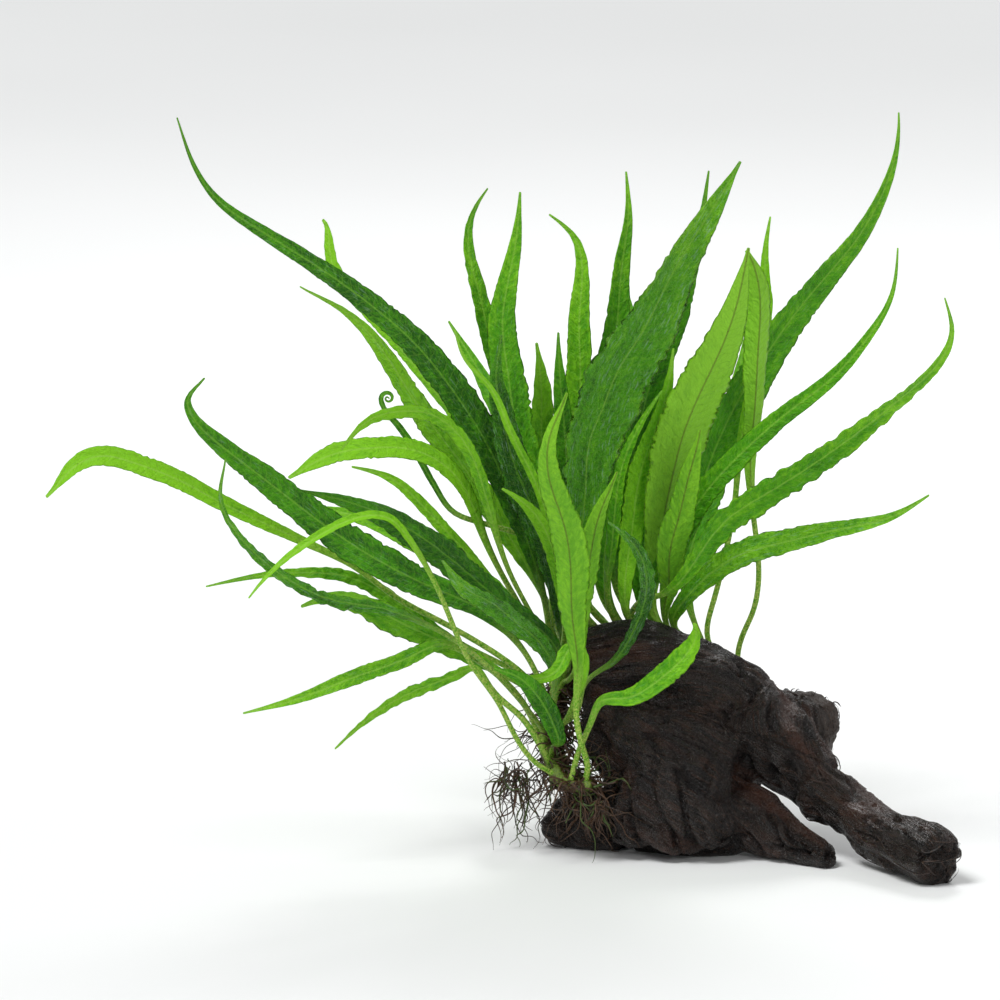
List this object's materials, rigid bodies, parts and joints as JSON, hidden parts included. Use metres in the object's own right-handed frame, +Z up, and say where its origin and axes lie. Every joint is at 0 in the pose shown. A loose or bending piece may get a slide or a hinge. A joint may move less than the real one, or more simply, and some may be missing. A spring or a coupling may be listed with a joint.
{
  "type": "java fern on driftwood",
  "caption": "Java fern with long narrow fronds growing from a creeping rhizome on a dark branching piece of driftwood, an aquarium plant that rests on the wood's flat underside.",
  "frame": {"origin": "the middle of the trunk's flat underside, on the surface that the wood rests on", "axes": "+Z up; -Y is the side it is usually seen from; +X points to the side that the long limb reaches to, and the roots and the low fronds are towards -X"},
  "size_m": [0.381, 0.1915, 0.3176],
  "materials": {
    "wood": "satin",
    "wood_knob": "matte",
    "rhizome": "satin",
    "roots": "matte",
    "frond": "satin",
    "frond_pale": "satin"
  },
  "bodies": {
    "root": {"driftwood_back_knob": "wood_knob", "driftwood_foot": "wood", "driftwood_long_limb": "wood", "driftwood_short_limb": "wood", "driftwood_trunk": "wood", "driftwood_upper_log": "wood", "frond_back_01": "frond", "frond_back_02": "frond", "frond_back_03": "frond", "frond_back_04": "frond", "frond_centre_01": "frond_pale", "frond_centre_02": "frond", "frond_centre_03": "frond", "frond_centre_04": "frond", "frond_centre_05": "frond", "frond_centre_06": "frond_pale", "frond_centre_07": "frond", "frond_centre_08": "frond", "frond_centre_09": "frond", "frond_centre_10": "frond", "frond_centre_11": "frond", "frond_centre_12": "frond", "frond_centre_13": "frond", "frond_centre_14": "frond_pale", "frond_centre_15": "frond", "frond_centre_16": "frond_pale", "frond_left_01": "frond", "frond_left_02": "frond_pale", "frond_left_03": "frond_pale", "frond_left_04": "frond", "frond_left_05": "frond", "frond_left_06": "frond_pale", "frond_left_07": "frond_pale", "frond_left_08": "frond_pale", "frond_left_09": "frond_pale", "frond_left_10": "frond", "frond_left_11": "frond", "frond_left_12": "frond", "frond_left_13": "frond", "frond_left_14": "frond", "frond_left_15": "frond", "frond_left_16": "frond", "frond_middle_01": "frond", "frond_middle_02": "frond", "frond_right_01": "frond", "frond_right_02": "frond", "frond_right_03": "frond_pale", "frond_right_04": "frond", "frond_right_05": "frond_pale", "frond_right_06": "frond_pale", "frond_right_07": "frond_pale", "frond_right_08": "frond_pale", "frond_right_09": "frond", "frond_right_10": "frond", "frond_right_11": "frond", "frond_right_12": "frond", "rhizome": "rhizome", "roots_front": "roots", "roots_left": "roots"}
  },
  "joints": []
}
